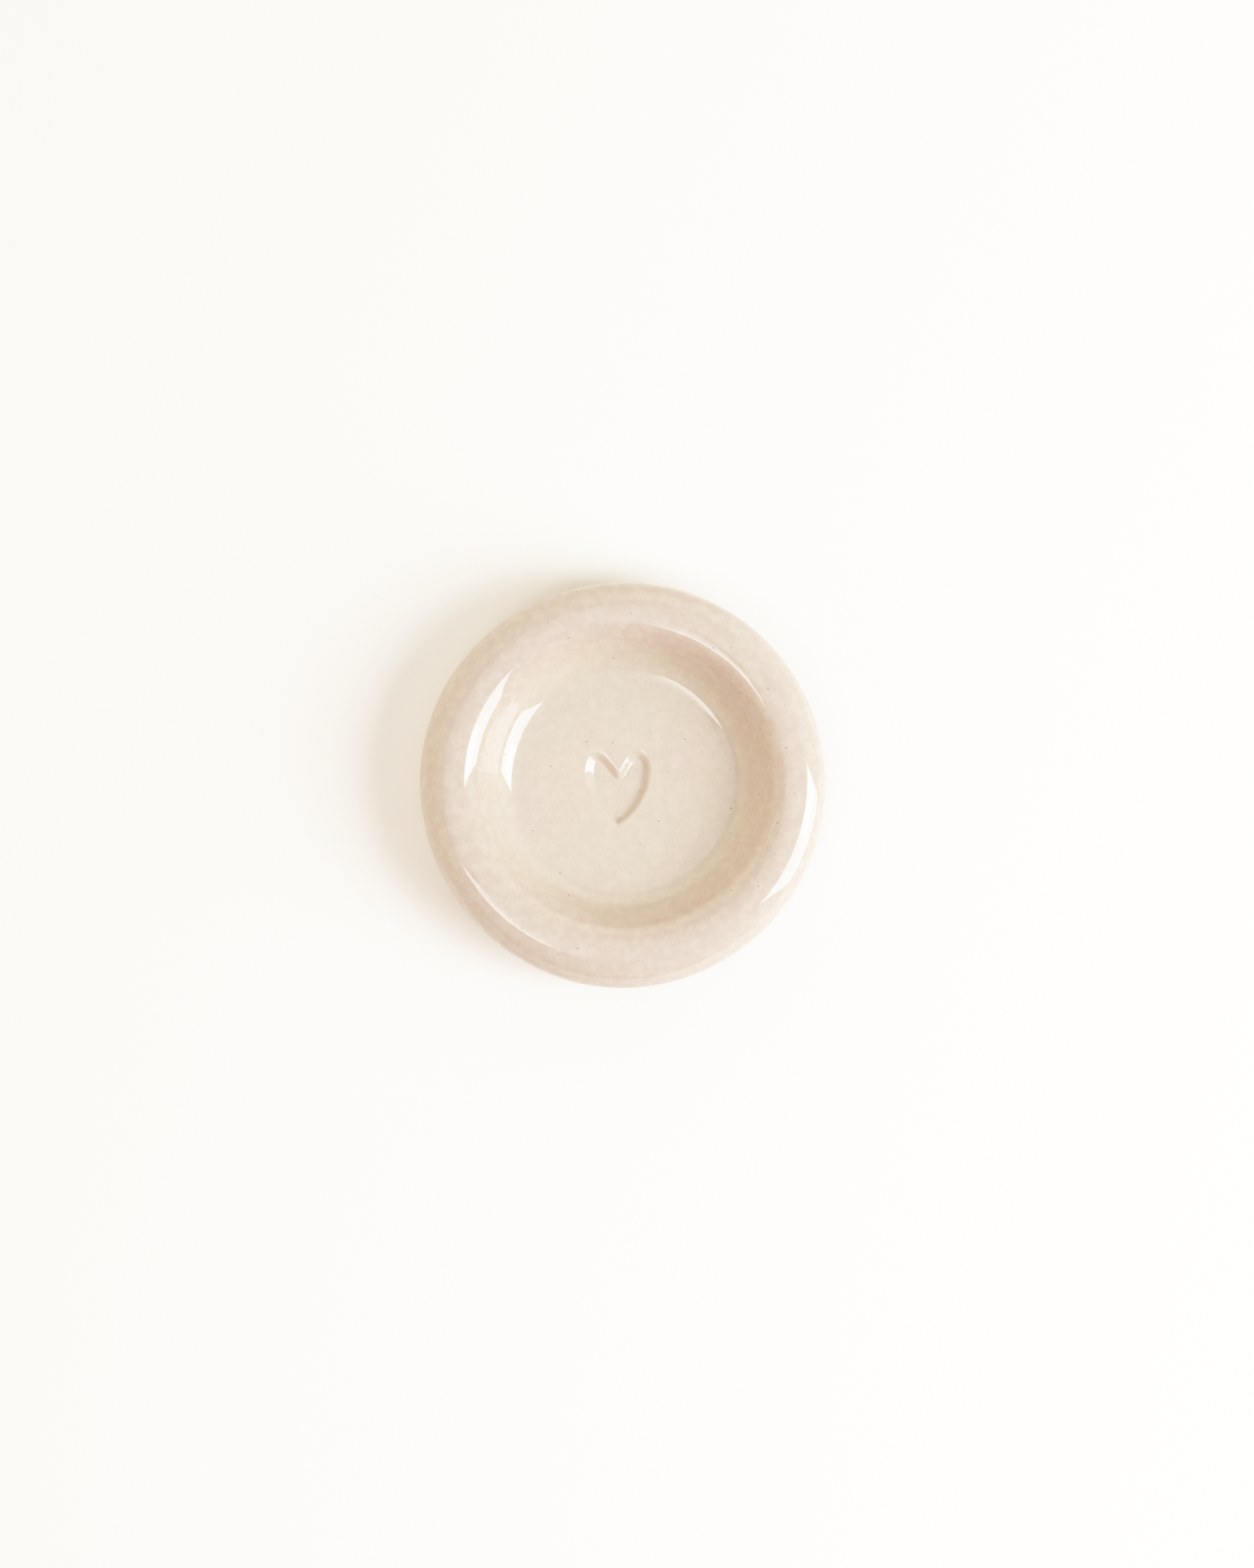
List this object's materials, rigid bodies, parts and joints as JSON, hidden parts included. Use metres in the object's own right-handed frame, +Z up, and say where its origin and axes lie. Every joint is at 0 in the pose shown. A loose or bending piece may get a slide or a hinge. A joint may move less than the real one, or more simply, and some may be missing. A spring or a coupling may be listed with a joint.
{
  "type": "trinket dish",
  "caption": "Round shallow glazed stoneware trinket dish with a plump rolled rim, a heart pressed into its flat floor and a low foot ring.",
  "frame": {"origin": "centre of the dish's underside, on the plane that the foot ring stands on", "axes": "+Z up along the dish's axis, out of the bowl; the heart's point faces -Y and its lobes face +Y"},
  "size_m": [0.1, 0.1, 0.0205],
  "materials": {
    "glazed_stoneware": "gloss"
  },
  "bodies": {
    "root": {"dish": "glazed_stoneware"}
  },
  "joints": []
}
